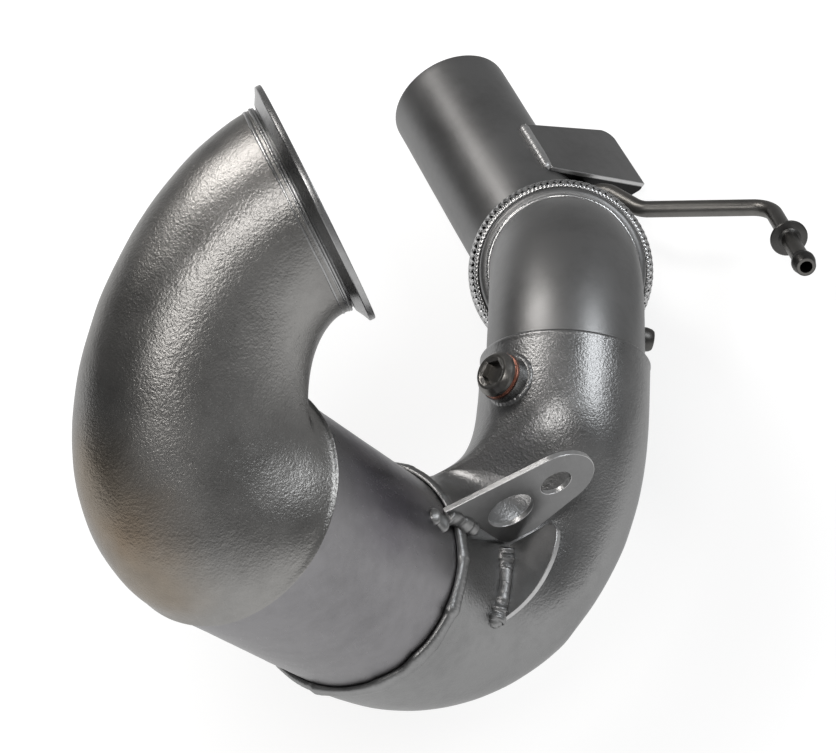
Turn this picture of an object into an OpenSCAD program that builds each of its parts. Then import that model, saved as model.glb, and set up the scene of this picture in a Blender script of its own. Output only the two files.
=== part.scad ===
// Catalytic downpipe with a flex coupling. Millimetres, +Z up.
// Origin: centre of the inlet flange's mating face. +X points out of the inlet, +Y along the outlet.

/* [Inlet flange] */
// Outer diameter of the clamp flange
flange_od = 121.5; // [116:0.5:128]
// Thickness of the flange rim
flange_rim = 3.2; // [2.5:0.1:5]
// Length of the flange with its neck
flange_len = 10.5; // [9:0.5:14]
// Bore of the flange
flange_bore = 95; // [90:0.5:97]

/* [Castings] */
// Wall of the cast elbows
cast_wall = 4.5; // [3:0.5:5]
// Outer diameter of the inlet elbow at its neck
neck_od = 104.5; // [102:0.5:106]
// Outer diameter of the inlet elbow half way
elbow_mid_od = 105; // [104:0.5:112]
// How far the elbow's late sections lean outwards
elbow_lean = 1.3; // [0:0.1:2]
// Outer diameter of the inlet elbow's lip at the can
lip_od = 122.5; // [122:0.5:126]
// Outer diameter of the exit cone's mouth
mouth_od = 122.5; // [122:0.5:126]
// Outer diameter of the exit cone half way
cone_mid_od = 116; // [110:0.5:120]
// How far the cone's early sections lean outwards
cone_lean = 1.6; // [0:0.1:2]
// How much wider the cone's early sections are
cone_bulge = 1.4; // [0:0.1:2]
// Outer diameter of the exit cone's socket
socket_od = 95; // [94.5:0.5:99]
// Length of the straight socket
socket_len = 51; // [46:0.5:56]
// Depth to which the upper elbow sits in the socket
seat_depth = 3; // [2:0.5:4]
// Gap round the tube in the socket
seat_gap = 0.15; // [0.1:0.05:0.3]
// Sides of a cast ring
ring_sides = 44; // [32:4:48]
// Rings along a casting
ring_steps = 20; // [14:1:24]

/* [Catalyst can] */
// Outer diameter of the can
can_od = 120; // [116:0.5:121.5]
// Wall of the can
can_wall = 1.5; // [1:0.1:2]
// Length of the can
can_len = 127; // [110:1:135]
// Length of the catalyst body
brick_len = 92; // [60:1:100]
// Thickness of the mat round the catalyst body
mat_t = 4; // [3:0.5:6]
// Pitch of the catalyst body's channels
cell_pitch = 11; // [10:0.5:16]
// Wall between two channels
cell_wall = 1.6; // [1.2:0.1:2.5]
// Width of the large bead round the can
bead_w = 6.4; // [5:0.2:8]
// Height of the large bead
bead_h = 2.4; // [1.5:0.1:3]

/* [Tubes] */
// Outer diameter of the upper elbow
tube_od = 88.9; // [87:0.1:89.2]
// Wall of the tubes
tube_wall = 2; // [1.5:0.1:2.4]
// Centreline radius of the upper elbow
upper_r = 94; // [91:0.5:96]
// Outer diameter of the outlet tube
outlet_od = 84; // [82:0.5:86]
// Centreline radius of the outlet bend
outlet_r = 69.5; // [66:0.5:73]
// Length of the straight outlet tube
outlet_len = 143; // [120:1:180]

/* [Flex coupling] */
// Length of the coupling from tube to tube
flex_len = 82; // [78:1:90]
// Length of each conical collar
collar_len = 9; // [8:0.5:11]
// Length of each crimp ring
crimp_len = 8; // [6:0.5:9]
// Outer diameter of the crimp rings
crimp_od = 106; // [105:0.5:108]
// Outer diameter of the braid
braid_od = 112; // [110:0.5:116]
// Thickness of the braid
braid_t = 1.1; // [0.8:0.1:1.4]
// Number of folds in the bellows
folds = 8; // [6:1:10]
// Thickness of the bellows' sheet
bellows_t = 0.8; // [0.6:0.1:1]
// Gap between pieces that move on each other
slip_gap = 0.3; // [0.2:0.05:0.5]

/* [Sensor boss] */
// Outer diameter of the boss
boss_od = 27; // [25:0.5:29]
// Height of the boss above the socket
boss_h = 6; // [5:0.5:8]
// Thread diameter of the plug
thread_d = 18; // [16:0.5:18.5]
// Outer diameter of the plug's head
head_d = 25; // [24:0.5:26]
// Height of the plug's head
head_h = 5.5; // [5:0.5:7]
// Width across the flats of the hexagon socket
hex_af = 10; // [8:1:11]
// Height of the crush washer
washer_h = 2.2; // [1.6:0.1:2.6]
// Distance of the boss from the start of the socket
boss_at = 24; // [20:0.5:28]
// Turn of the boss round the socket
boss_turn = 0; // [-10:1:10]

/* [Hanger bracket] */
// Thickness of the bracket plates
plate_t = 3; // [2.5:0.1:4]
// Radius of the rounded end
end_r = 22.3; // [20:0.1:23]
// Diameter of the small hole
small_hole = 17; // [12:0.5:18]
// Diameter of the large hole
large_hole = 25; // [20:0.5:26]
// Distance between the two holes
hole_gap = 26.5; // [24:0.5:29]
// Length from the round end's centre to the weld
plate_run = 57.5; // [55:0.5:60]
// Depth from the round end's centre to the lower edge
plate_drop = 32; // [30:0.5:34]
// Radius of a lump of weld
lump_r = 5; // [4.5:0.1:5.5]
// Radius of the half-moon gusset
gusset_r = 33; // [28:0.5:35]
// Half the gusset's length along the casting
gusset_mid = 16; // [14:0.5:18]
// How far the gusset's flat side lies below its centre
gusset_sink = 6; // [5:0.5:8]
// Radius of the gusset's weld
gusset_bead = 3.6; // [3:0.1:4.2]

/* [Tube bracket] */
// Length of the tangent plate away from the tube
wing_len = 82; // [60:1:90]
// Width of the tangent plate along the tube
wing_w = 52; // [40:1:56]
// Depth of the folded edge at its tip
fold_h = 16; // [8:1:18]
// Turn of the plate's tangent point from +X towards +Z
wing_turn = 44; // [40:1:48]

/* [Pressure tube] */
// Outer diameter of the pressure tube
press_od = 11; // [8:0.5:12]
// Wall of the pressure tube
press_wall = 1.5; // [1:0.1:2]
// Bend radius of the pressure tube
press_r = 16; // [14:0.5:18]
// Outer diameter of the stop collar
stop_od = 24; // [20:0.5:26]
// Distance from the tube's end back to the stop collar
stop_back = 43; // [36:0.5:46]
// Outer diameter of the hose barb
barb_od = 15; // [13:0.5:16]

/* [Hidden] */
// Small step where the cone's facets meet the round socket
joint_step = 0.5;
// How far the cone's end reaches into the socket's wall
joint_lap = 2;
$fn = 96;

function unit(v) = v / norm(v);
function side(v, along) = unit(v - (v * unit(along)) * unit(along));

// Route of the centreline
neck_end = [-flange_len, 0, 0];
can_start = [-102, -76.5, -75];
can_dir = unit([0.284, 0.038, -0.958]);
can_end = can_start + can_len * can_dir;
sock_start = can_end + [129.43, 42.17, -40.83];
sock_dir = unit([0.475, 0.862, 0.177]);
sock_end = sock_start + socket_len * sock_dir;
flex_dir = unit([0.052, 0.609, -0.792]);
out_dir = [0, 1, 0];
upper_start = sock_end - seat_depth * sock_dir;
upper_turn = acos(sock_dir * flex_dir);
upper_side = side(flex_dir, sock_dir);
upper_end = upper_start + upper_r * (sin(upper_turn) * sock_dir + (1 - cos(upper_turn)) * upper_side);
flex_start = upper_end;
flex_end = flex_start + flex_len * flex_dir;
outlet_turn = acos(flex_dir * out_dir);
outlet_side = side(out_dir, flex_dir);
outlet_in = side(flex_dir, out_dir);
outlet_start = flex_end + outlet_r * (sin(outlet_turn) * flex_dir + (1 - cos(outlet_turn)) * outlet_side);
tube_r = tube_od / 2;
outlet_tube_r = outlet_od / 2;
can_r = can_od / 2;
socket_r = socket_od / 2;

// Rigid frame with its Z along z and its X towards x
module place(p, z, x) {
    c = unit(z);
    a = side(x, z);
    b = cross(c, a);
    multmatrix([[a[0], b[0], c[0], p[0]], [a[1], b[1], c[1], p[1]], [a[2], b[2], c[2], p[2]], [0, 0, 0, 1]])
        children();
}

// Bent tube from p along d, turning towards s
module bend(p, d, s, radius, turn, r, t) {
    place(p + radius * s, cross(d, s), -s)
        rotate_extrude(angle = turn) translate([radius, 0]) difference() {
            circle(r = r);
            circle(r = r - t);
        }
}

// Loft of round sections between two ends of a casting
function curve(a, b, c, d, t) =
    pow(1 - t, 3) * a + 3 * pow(1 - t, 2) * t * b + 3 * (1 - t) * t * t * c + t * t * t * d;
function blend3(a, m, b, t) = a * (1 - t) * (1 - 2 * t) + 4 * m * t * (1 - t) + b * t * (2 * t - 1);
// near and far move the sections outwards early and late in the bend; swell widens the early ones
function rings(p0, d0, h0, p1, d1, h1, ra, rm, rb, near, far, swell) =
    let (turn = acos(d0 * d1), w = unit(cross(d0, d1)), s = cross(w, d0))
    [for (k = [0 : ring_steps])
        let (t = k / ring_steps, n = cos(turn * t) * d0 + sin(turn * t) * s, v = cross(n, w),
            early = 12.2 * t * pow(1 - t, 4), late = 17.6 * pow(t, 6) * (1 - t),
            c = curve(p0, p0 + h0 * d0, p1 - h1 * d1, p1, t) + (near * early + far * late) * v,
            r = blend3(ra, rm, rb, t) + swell * early)
        for (i = [0 : ring_sides - 1])
            c + r * (cos(360 * i / ring_sides) * w + sin(360 * i / ring_sides) * v)];
// Two triangles for each patch of a wall of m rings with n sides, whose points start at o
function wall(o, m, n, flip) =
    [for (k = [0 : m - 2], i = [0 : n - 1])
        let (j = (i + 1) % n, a = o + k * n + i, b = o + k * n + j, c = b + n, d = a + n)
        each flip ? [[a, b, c], [a, c, d]] : [[a, c, b], [a, d, c]]];
module loft_solid(outer, n) {
    m = len(outer) / n;
    last = len(outer) - n;
    polyhedron(points = outer, faces = concat(wall(0, m, n, false),
        [[for (i = [0 : n - 1]) i]], [[for (i = [n - 1 : -1 : 0]) last + i]]));
}
module loft_shell(outer, inner, n) {
    o = len(outer);
    m = o / n;
    last = o - n;
    polyhedron(points = concat(outer, inner), faces = concat(wall(0, m, n, false), wall(o, m, n, true),
        [for (i = [0 : n - 1]) let (j = (i + 1) % n) [i, j, o + j, o + i]],
        [for (i = [0 : n - 1]) let (j = (i + 1) % n) [last + j, last + i, o + last + i, o + last + j]]));
}
function inlet_rings(cut) = rings(neck_end, [-1, 0, 0], 45.5, can_start, can_dir, 62,
    neck_od / 2 - cut, elbow_mid_od / 2 - cut, lip_od / 2 - cut, 0, elbow_lean, 0);
function exit_rings(cut) = rings(can_end, can_dir, 102, sock_start + joint_lap * sock_dir, sock_dir, 43,
    mouth_od / 2 - cut, cone_mid_od / 2 - cut, socket_r - cut + (cut > 0 ? joint_step : -joint_step),
    cone_lean, 0, cone_bulge);

// Clamp flange: flat face, rim, conical back, groove and neck
module inlet_flange() {
    r = flange_od / 2;
    n = neck_od / 2;
    color("silver")
        rotate([0, -90, 0]) rotate_extrude()
            polygon([[flange_bore / 2, 0], [r - 0.6, 0], [r, 0.6], [r, flange_rim], [n + 1.4, flange_rim + 3.4],
                [n - 1, flange_rim + 3.8], [n - 1, flange_rim + 4.6], [n, flange_rim + 5.2],
                [n, flange_len], [flange_bore / 2, flange_len]]);
}
// Weld on the neck, at the casting's end
module inlet_weld() {
    n = neck_od / 2;
    color("lightgrey")
        rotate([0, -90, 0]) rotate_extrude()
            polygon([[n, flange_len - 1.9], [n + 0.9, flange_len - 1.4], [n + 1, flange_len - 0.5], [n, flange_len]]);
}
// Cast elbow, a tapered loft that opens towards the can
module inlet_elbow() {
    color("dimgrey") loft_shell(inlet_rings(0), inlet_rings(cast_wall), ring_sides);
}
module seam_weld() {
    color("grey")
        place(can_start, can_dir, [0, 1, 0]) rotate_extrude()
            polygon([[can_r, 0], [can_r + 1.1, 0], [can_r + 0.9, 1.2], [can_r, 2.4]]);
}
module catalyst_can() {
    color("slategrey")
        place(can_start, can_dir, [0, 1, 0]) difference() {
            cylinder(r = can_r, h = can_len);
            translate([0, 0, -1]) cylinder(r = can_r - can_wall, h = can_len + 2);
        }
}
module catalyst_mat() {
    color("whitesmoke")
        place(can_start + (can_len - brick_len) / 2 * can_dir, can_dir, [0, 1, 0]) difference() {
            cylinder(r = can_r - can_wall, h = brick_len);
            translate([0, 0, -1]) cylinder(r = can_r - can_wall - mat_t, h = brick_len + 2);
        }
}
// Honeycomb body with square channels from end to end
module catalyst_brick() {
    r = can_r - can_wall - mat_t;
    m = floor(r / cell_pitch);
    color("tan")
        place(can_start + (can_len - brick_len) / 2 * can_dir, can_dir, [0, 1, 0])
            linear_extrude(height = brick_len) difference() {
                circle(r = r);
                for (i = [-m : m], j = [-m : m])
                    if (norm([abs(i) + 0.5, abs(j) + 0.5]) * cell_pitch < r - cell_wall)
                        translate([i * cell_pitch, j * cell_pitch]) square(cell_pitch - cell_wall, center = true);
            }
}
// Large bead on the end of the can
module can_weld() {
    color("darkgrey")
        place(can_start, can_dir, [0, 1, 0]) rotate_extrude()
            translate([can_r, can_len - bead_w]) polygon([[0, 0], [bead_h * 0.7, bead_w * 0.15],
                [bead_h, bead_w * 0.4], [bead_h, bead_w * 0.65], [bead_h * 0.8, bead_w], [0, bead_w]]);
}
// Cast exit: a tapered loft, then a straight socket with a seat for the tube
module exit_cone() {
    color("dimgrey") union() {
        loft_shell(exit_rings(0), exit_rings(cast_wall), ring_sides);
        difference() {
            place(sock_start, sock_dir, [0, 0, 1]) difference() {
                cylinder(r = socket_r, h = socket_len);
                translate([0, 0, -1]) cylinder(r = socket_r - cast_wall, h = socket_len + 2);
                translate([0, 0, socket_len - seat_depth]) cylinder(r = tube_r + seat_gap, h = seat_depth + 1);
            }
            on_boss() cylinder(d = thread_d + 1, h = 70);
        }
    }
}
// Frame on the socket's axis with its Z along the sensor boss
boss_axis = side([-0.485, 0.088, 0.87], sock_dir);
module on_boss() {
    place(sock_start + boss_at * sock_dir, boss_axis * cos(boss_turn) + cross(sock_dir, boss_axis) * sin(boss_turn),
        sock_dir) children();
}
module socket_bar(r) {
    place(sock_start - 20 * sock_dir, sock_dir, [0, 0, 1]) cylinder(r = r, h = socket_len + 40);
}
module sensor_boss() {
    color("silver") difference() {
        on_boss() translate([0, 0, socket_r - 12]) cylinder(d = boss_od, h = boss_h + 12);
        on_boss() cylinder(d = thread_d, h = 80);
        socket_bar(socket_r);
    }
}
// Fillet weld round the foot of the boss
module boss_weld() {
    color("lightgrey") difference() {
        on_boss() translate([0, 0, socket_r - 4]) cylinder(r1 = boss_od / 2 + 3.4, r2 = boss_od / 2 + 0.4, h = 6);
        on_boss() cylinder(d = boss_od, h = 80);
        socket_bar(socket_r);
    }
}
// Folded washer of two layers with a groove between them
module crush_washer() {
    a = thread_d / 2 + 0.3;
    b = head_d / 2 + 0.1;
    color("peru")
        on_boss() translate([0, 0, socket_r + boss_h]) rotate_extrude()
            polygon([[a, 0], [b - 0.3, 0], [b, washer_h * 0.25], [b - 0.5, washer_h * 0.5],
                [b, washer_h * 0.75], [b - 0.3, washer_h], [a, washer_h]]);
}
// Screw plug with a bevelled head and a hexagon socket
module boss_plug() {
    r = head_d / 2;
    color("dimgrey") on_boss() translate([0, 0, socket_r + boss_h + washer_h]) difference() {
        rotate_extrude()
            polygon([[0, -13], [thread_d / 2 - 1.2, -13], [thread_d / 2 - 0.1, -12], [thread_d / 2 - 0.1, 0],
                [r, 0], [r, head_h * 0.45], [r - 1.6, head_h - 0.6], [r - 2.4, head_h], [0, head_h]]);
        translate([0, 0, head_h - 5]) cylinder(d = hex_af / cos(30), h = 10, $fn = 6);
    }
}
// Bent tube from the socket to the flex coupling
module upper_elbow() {
    color("grey") difference() {
        bend(upper_start, sock_dir, upper_side, upper_r, upper_turn, tube_r, tube_wall);
        on_rear() cylinder(d = 11, h = 70);
    }
}
// Small open boss on the far side of the upper elbow
rear_dir = side([0.69, 0.11, -0.72], sock_dir);
module on_rear() {
    place(sock_end + 14 * sock_dir, rear_dir, sock_dir) children();
}
module rear_boss() {
    color("silver") difference() {
        on_rear() translate([0, 0, tube_r - 6]) cylinder(d = 17, h = 15);
        on_rear() cylinder(d = 9, h = 80);
        place(upper_start + upper_r * upper_side, cross(sock_dir, upper_side), -upper_side)
            rotate([0, 0, -12]) rotate_extrude(angle = 40) translate([upper_r, 0]) circle(r = tube_r);
    }
}

// Front face of the hanger plate
plate_y = can_end[1] - 11.83;
// Centre of its round end
end_x = can_end[0] + 112.43;
end_z = can_end[2] + 14.67;
module hanger_plate() {
    color("slategrey")
        translate([0, plate_y + plate_t, 0]) rotate([90, 0, 0]) linear_extrude(height = plate_t) difference() {
            polygon(concat([[end_x - plate_run * 0.34, end_z - plate_drop], [end_x - plate_run * 0.6, end_z - plate_drop],
                [end_x - plate_run * 0.67, end_z - plate_drop * 0.81], [end_x - plate_run * 0.81, end_z - 2],
                [end_x - plate_run, end_z + end_r]],
                [for (a = [90 : -6 : -66]) [end_x + end_r * cos(a), end_z + end_r * sin(a)]]));
            translate([end_x + 0.5, end_z]) circle(d = small_hole);
            translate([end_x - hole_gap, end_z - 4.5]) circle(d = large_hole);
        }
}
module cast_solid() {
    loft_solid(exit_rings(0), ring_sides);
    place(can_start, can_dir, [0, 1, 0]) cylinder(r = can_r, h = can_len);
}
// Lumps of weld along the plate's foot
module hanger_weld() {
    color("darkgrey") difference() {
        for (q = [[1.5, 3], [4.5, 8], [7.5, 14], [10.5, 21], [13.5, 28]])
            translate([end_x - plate_run + q[0] - 2.5, plate_y, end_z + end_r - q[1]]) sphere(r = lump_r, $fn = 20);
        cast_solid();
        hanger_plate();
        can_weld();
    }
}
// Half-moon web that stands on the casting under the plate
gusset_p = can_end + [77.43, -10.83, -21.33];
gusset_s = unit([-25.8, -35.4, -8]);
gusset_m = side([0.6, -0.6, 0.45], gusset_s);
module hanger_gusset() {
    color("slategrey") difference() {
        place(gusset_p + gusset_mid * gusset_s, cross(gusset_s, gusset_m), gusset_s)
            translate([0, 0, -plate_t / 2]) difference() {
                cylinder(r = gusset_r, h = plate_t);
                translate([-2 * gusset_r, -2 * gusset_r, -1]) cube([4 * gusset_r, 2 * gusset_r - gusset_sink, plate_t + 2]);
            }
        cast_solid();
        hanger_plate();
    }
}
module gusset_weld() {
    n = cross(gusset_s, gusset_m);
    color("darkgrey") difference() {
        place(gusset_p + 3 * gusset_s - 2 * n + 3 * gusset_m, gusset_s, n) cylinder(r = gusset_bead, h = gusset_mid * 2 + 10, $fn = 24);
        cast_solid();
        place(gusset_p, gusset_s, n) translate([-plate_t / 2, -60, -20]) cube([60, 120, 100]);
    }
}

// Flex coupling, turned about its own axis
module on_flex() {
    place(flex_start, flex_dir, [1, 0, 0]) children();
}
// Rear end of the coupling, seen from its far end
module on_flex_rear() {
    place(flex_end, -flex_dir, [1, 0, 0]) children();
}
cuff_r = 50.2;
cuff_end = collar_len + crimp_len + 1;
module collar(r) {
    rotate_extrude()
        polygon([[r - 1.4, 0], [r + 2, 0], [r + 2.6, 1.5], [cuff_r, collar_len], [cuff_r, cuff_end],
            [cuff_r - 1.6, cuff_end], [cuff_r - 1.6, collar_len + 0.6], [r - 1.4, 2]]);
}
module crimp() {
    r = cuff_r + 2 * slip_gap + braid_t;
    rotate_extrude()
        polygon([[r, collar_len], [crimp_od / 2 - 0.5, collar_len], [crimp_od / 2, collar_len + 0.8],
            [crimp_od / 2, collar_len + crimp_len - 0.8], [crimp_od / 2 - 0.5, collar_len + crimp_len],
            [r, collar_len + crimp_len]]);
}
module collar_weld(r) {
    rotate_extrude() polygon([[r + 0.06, -2.2], [r + 1.4, -1.6], [r + 2, -0.6], [r + 2, 0], [r + 0.06, 0]]);
}
module front_collar_weld() {
    color("lightgrey") on_flex() collar_weld(tube_r);
}
module front_collar() {
    color("silver") on_flex() collar(tube_r);
}
module front_crimp() {
    color("silver") on_flex() crimp();
}
// Woven sleeve from crimp ring to crimp ring
module flex_braid() {
    a = cuff_r + slip_gap;
    b = braid_od / 2 - braid_t;
    s = collar_len + 0.5;
    e = flex_len - s;
    w = crimp_len + 0.5;
    color("gainsboro") on_flex() rotate_extrude()
        polygon([[a, s], [a + braid_t, s], [a + braid_t, s + w], [b + braid_t, s + w + 4],
            [b + braid_t, e - w - 4], [a + braid_t, e - w], [a + braid_t, e], [a, e],
            [a, e - w], [b, e - w - 4], [b, s + w + 4], [a, s + w]]);
}
// Corrugated gas-tight sleeve under the braid
module flex_bellows() {
    s = cuff_end + slip_gap;
    e = flex_len - s;
    mid = 49.2;
    amp = 3.6;
    // Half a fold more, so that both ends start inwards, clear of the braid
    waves = folds + 0.5;
    steps = waves * 8;
    color("silver") on_flex() rotate_extrude()
        polygon(concat(
            [for (k = [0 : steps]) [mid - amp * sin(360 * waves * k / steps), s + (e - s) * k / steps]],
            [for (k = [steps : -1 : 0]) [mid - bellows_t - amp * sin(360 * waves * k / steps),
                s + (e - s) * k / steps]]));
}
// Interlocked inner hose that carries the gas
module flex_liner() {
    r = outlet_tube_r - 1.4 - slip_gap;
    color("grey") on_flex() translate([0, 0, slip_gap]) rotate_extrude()
        polygon(concat(
            [for (k = [0 : 19]) each [[r - (k % 2) * 0.7, k * (flex_len - 2 * slip_gap) / 20],
                [r - (k % 2) * 0.7, (k + 1) * (flex_len - 2 * slip_gap) / 20]]],
            [[r - 1.8, flex_len - 2 * slip_gap], [r - 1.8, 0]]));
}
module rear_crimp() {
    color("silver") on_flex_rear() crimp();
}
module rear_collar() {
    color("silver") on_flex_rear() collar(outlet_tube_r);
}
module rear_collar_weld() {
    color("lightgrey") on_flex_rear() collar_weld(outlet_tube_r);
}
// Rear bend and straight tube in one piece, open at the end
module outlet_pipe() {
    r = outlet_tube_r;
    color("grey") place(outlet_start - outlet_r * outlet_in, cross(-out_dir, -outlet_in), outlet_in) union() {
        rotate_extrude(angle = outlet_turn) translate([outlet_r, 0]) difference() {
            circle(r = r);
            circle(r = r - tube_wall);
        }
        translate([outlet_r, 0, 0]) rotate([90, 0, 0]) difference() {
            cylinder(r = r, h = outlet_len);
            translate([0, 0, -1]) cylinder(r = r - tube_wall, h = outlet_len + 2);
        }
    }
}

// Plate tangent to the outlet tube, with a folded front edge
wing_n = [cos(wing_turn), 0, sin(wing_turn)];
wing_e = [sin(wing_turn), 0, -cos(wing_turn)];
wing_y = outlet_start[1] + 24.56;
module on_wing() {
    multmatrix([[wing_e[0], 0, wing_n[0], outlet_start[0]], [0, 1, 0, wing_y],
        [wing_e[2], 0, wing_n[2], outlet_start[2]], [0, 0, 0, 1]]) children();
}
module tube_bracket() {
    c = 9;
    color("dimgrey") on_wing() union() {
        translate([0, 0, outlet_tube_r]) linear_extrude(height = plate_t) union() {
            polygon([[-1, 0], [wing_len, 0], [wing_len, wing_w - c], [wing_len - c, wing_w], [-1, wing_w - 7]]);
            translate([wing_len - c, wing_w - c]) circle(r = c);
        }
        translate([0, plate_t, 0]) rotate([90, 0, 0]) linear_extrude(height = plate_t)
            polygon([[22, outlet_tube_r + 0.1], [wing_len - 18, outlet_tube_r - fold_h],
                [wing_len - 10, outlet_tube_r - fold_h], [wing_len, outlet_tube_r - 3], [wing_len, outlet_tube_r + 0.1]]);
    }
}
module outlet_core() {
    place(outlet_start, out_dir, [0, 0, 1]) cylinder(r = outlet_tube_r, h = outlet_len);
}
// Bead along the plate's foot on the tube
module bracket_weld() {
    r = outlet_tube_r;
    color("darkgrey") difference() {
        on_wing() translate([0, wing_w - 8, 0]) rotate([90, 0, 0]) linear_extrude(height = wing_w - 9)
            polygon([[-1, r - 2], [-1, r + 2.6], [-3.4, r + 2.4], [-5.8, r + 1.2], [-7, r - 0.4], [-7, r - 2]]);
        outlet_core();
    }
}

// Pressure tube: out of the tube's side, along, then forward to the hose
tap = outlet_start + [outlet_tube_r, 12.56, 0];
turns = [tap + [4, 0, 0], tap + [16, 0, 0], outlet_start + [71.59, -18.44, 0.46],
    outlet_start + [144.59, -62.24, -2.54], outlet_start + [131.09, -143.44, 36.46]];
runs = [for (k = [0 : 3]) unit(turns[k + 1] - turns[k])];
cuts = [0, for (k = [0 : 2]) press_r * tan(acos(runs[k] * runs[k + 1]) / 2), 0];
tube_tip = turns[4];
run2 = runs[3];
module pressure_boss() {
    color("silver") difference() {
        place(tap - [8, 0, 0], [1, 0, 0], [0, 0, 1]) cylinder(d = press_od + 7, h = 16);
        place(tap - [9, 0, 0], [1, 0, 0], [0, 0, 1]) cylinder(d = press_od - 2 * press_wall, h = 30);
        place(tap + [4, 0, 0], [1, 0, 0], [0, 0, 1]) cylinder(d = press_od + 0.1, h = 30);
        outlet_core();
    }
}
// Centreline stations: point and direction, with the bends as arcs
bend_steps = 5;
stations = concat([[turns[0], runs[0]]],
    [for (k = [1 : 3]) let (d = runs[k - 1], s = side(runs[k], d), a = acos(d * runs[k]), p = turns[k] - cuts[k] * d)
        for (i = [0 : bend_steps]) let (t = a * i / bend_steps)
            [p + press_r * (sin(t) * d + (1 - cos(t)) * s), cos(t) * d + sin(t) * s]],
    [[turns[4], runs[3]]]);
tube_sides = 20;
function tube_rings(r) = [for (q = stations)
    let (w = side([0.3, 0.4, 0.866], q[1]), v = cross(q[1], w))
    for (i = [0 : tube_sides - 1])
        q[0] + r * (cos(360 * i / tube_sides) * w + sin(360 * i / tube_sides) * v)];
module pressure_tube() {
    color("dimgrey") loft_shell(tube_rings(press_od / 2), tube_rings(press_od / 2 - press_wall), tube_sides);
}
module stop_collar() {
    color("dimgrey") place(tube_tip - stop_back * run2, run2, [0, 0, 1]) rotate_extrude()
        polygon([[press_od / 2, -2.5], [press_od / 2 + 1.5, -2.5], [stop_od / 2 - 1, -1.5], [stop_od / 2, -0.6],
            [stop_od / 2, 0.8], [stop_od / 2 - 1, 1.6], [press_od / 2 + 1.5, 2], [press_od / 2, 3]]);
}
// Olive barb on the tube's end
module hose_barb() {
    color("dimgrey") place(tube_tip, run2, [0, 0, 1]) rotate_extrude()
        polygon([[press_od / 2, -12], [press_od / 2 + 0.8, -12], [barb_od / 2, -8], [barb_od / 2, -5.5],
            [press_od / 2 + 0.6, 0], [press_od / 2, 0]]);
}

inlet_flange();
inlet_weld();
inlet_elbow();
seam_weld();
catalyst_can();
catalyst_mat();
catalyst_brick();
can_weld();
exit_cone();
sensor_boss();
boss_weld();
crush_washer();
boss_plug();
upper_elbow();
rear_boss();
hanger_plate();
hanger_weld();
hanger_gusset();
gusset_weld();
front_collar_weld();
front_collar();
front_crimp();
flex_braid();
flex_bellows();
flex_liner();
rear_crimp();
rear_collar();
rear_collar_weld();
outlet_pipe();
tube_bracket();
bracket_weld();
pressure_boss();
pressure_tube();
stop_collar();
hose_barb();
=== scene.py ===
import bpy, math
import numpy as np
from mathutils import Matrix, Vector, geometry, noise


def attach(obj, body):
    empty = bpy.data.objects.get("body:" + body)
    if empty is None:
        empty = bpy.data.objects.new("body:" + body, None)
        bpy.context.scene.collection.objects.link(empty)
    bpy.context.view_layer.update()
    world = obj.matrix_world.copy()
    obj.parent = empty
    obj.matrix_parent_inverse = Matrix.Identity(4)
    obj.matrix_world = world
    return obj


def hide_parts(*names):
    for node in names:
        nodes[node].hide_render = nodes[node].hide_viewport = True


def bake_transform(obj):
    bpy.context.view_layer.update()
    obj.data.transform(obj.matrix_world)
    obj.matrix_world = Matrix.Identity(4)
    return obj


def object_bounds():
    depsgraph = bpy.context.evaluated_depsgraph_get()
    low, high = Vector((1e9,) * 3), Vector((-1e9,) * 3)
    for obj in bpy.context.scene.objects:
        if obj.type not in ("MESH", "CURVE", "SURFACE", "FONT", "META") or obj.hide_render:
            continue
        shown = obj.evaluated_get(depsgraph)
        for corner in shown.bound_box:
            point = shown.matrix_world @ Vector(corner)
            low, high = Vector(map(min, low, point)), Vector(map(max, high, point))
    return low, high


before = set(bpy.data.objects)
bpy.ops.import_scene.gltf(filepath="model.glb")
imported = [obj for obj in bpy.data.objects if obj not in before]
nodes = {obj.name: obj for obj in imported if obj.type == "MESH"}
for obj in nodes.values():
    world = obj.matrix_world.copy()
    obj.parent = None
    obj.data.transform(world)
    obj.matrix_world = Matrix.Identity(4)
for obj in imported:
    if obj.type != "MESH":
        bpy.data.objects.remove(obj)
cad_low, cad_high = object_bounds()


# ---------- places, in millimetres, as in part.scad ----------
def unit(v):
    v = np.array(v, float)
    return v / np.linalg.norm(v)


def side(v, axis):
    v, axis = np.array(v, float), unit(axis)
    return unit(v - (v @ axis) * axis)


X, Y, Z = np.eye(3)
# sizes that several pieces share: outer radii, walls, the socket's length and the plates' thickness
CAN_R, CAN_WALL = 60.0, 1.5
TUBE_R, OUTLET_R, TUBE_WALL = 44.45, 42.0, 2.0
SOCKET_R, SOCKET_LEN, CAST_WALL = 47.5, 51, 4.5
PLATE = 3
# bend radii of the two tubes' middle lines
UPPER_BEND, OUTLET_BEND = 94, 69.5

neck_end = np.array([-10.5, 0, 0])
can_start = np.array([-102, -76.5, -75.0])
can_dir = unit([0.284, 0.038, -0.958])
can_len = 127.0
can_end = can_start + can_len * can_dir
sock_start = can_end + np.array([129.43, 42.17, -40.83])
sock_dir = unit([0.475, 0.862, 0.177])
sock_end = sock_start + SOCKET_LEN * sock_dir
flex_dir = unit([0.052, 0.609, -0.792])
upper_start = sock_end - 3 * sock_dir
upper_side = side(flex_dir, sock_dir)
upper_turn = math.acos(sock_dir @ flex_dir)
flex_start = upper_start + UPPER_BEND * (math.sin(upper_turn) * sock_dir + (1 - math.cos(upper_turn)) * upper_side)
flex_len = 82.0
flex_end = flex_start + flex_len * flex_dir
out_turn = math.acos(flex_dir @ Y)
out_side = side(Y, flex_dir)
outlet_start = flex_end + OUTLET_BEND * (math.sin(out_turn) * flex_dir + (1 - math.cos(out_turn)) * out_side)

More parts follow.
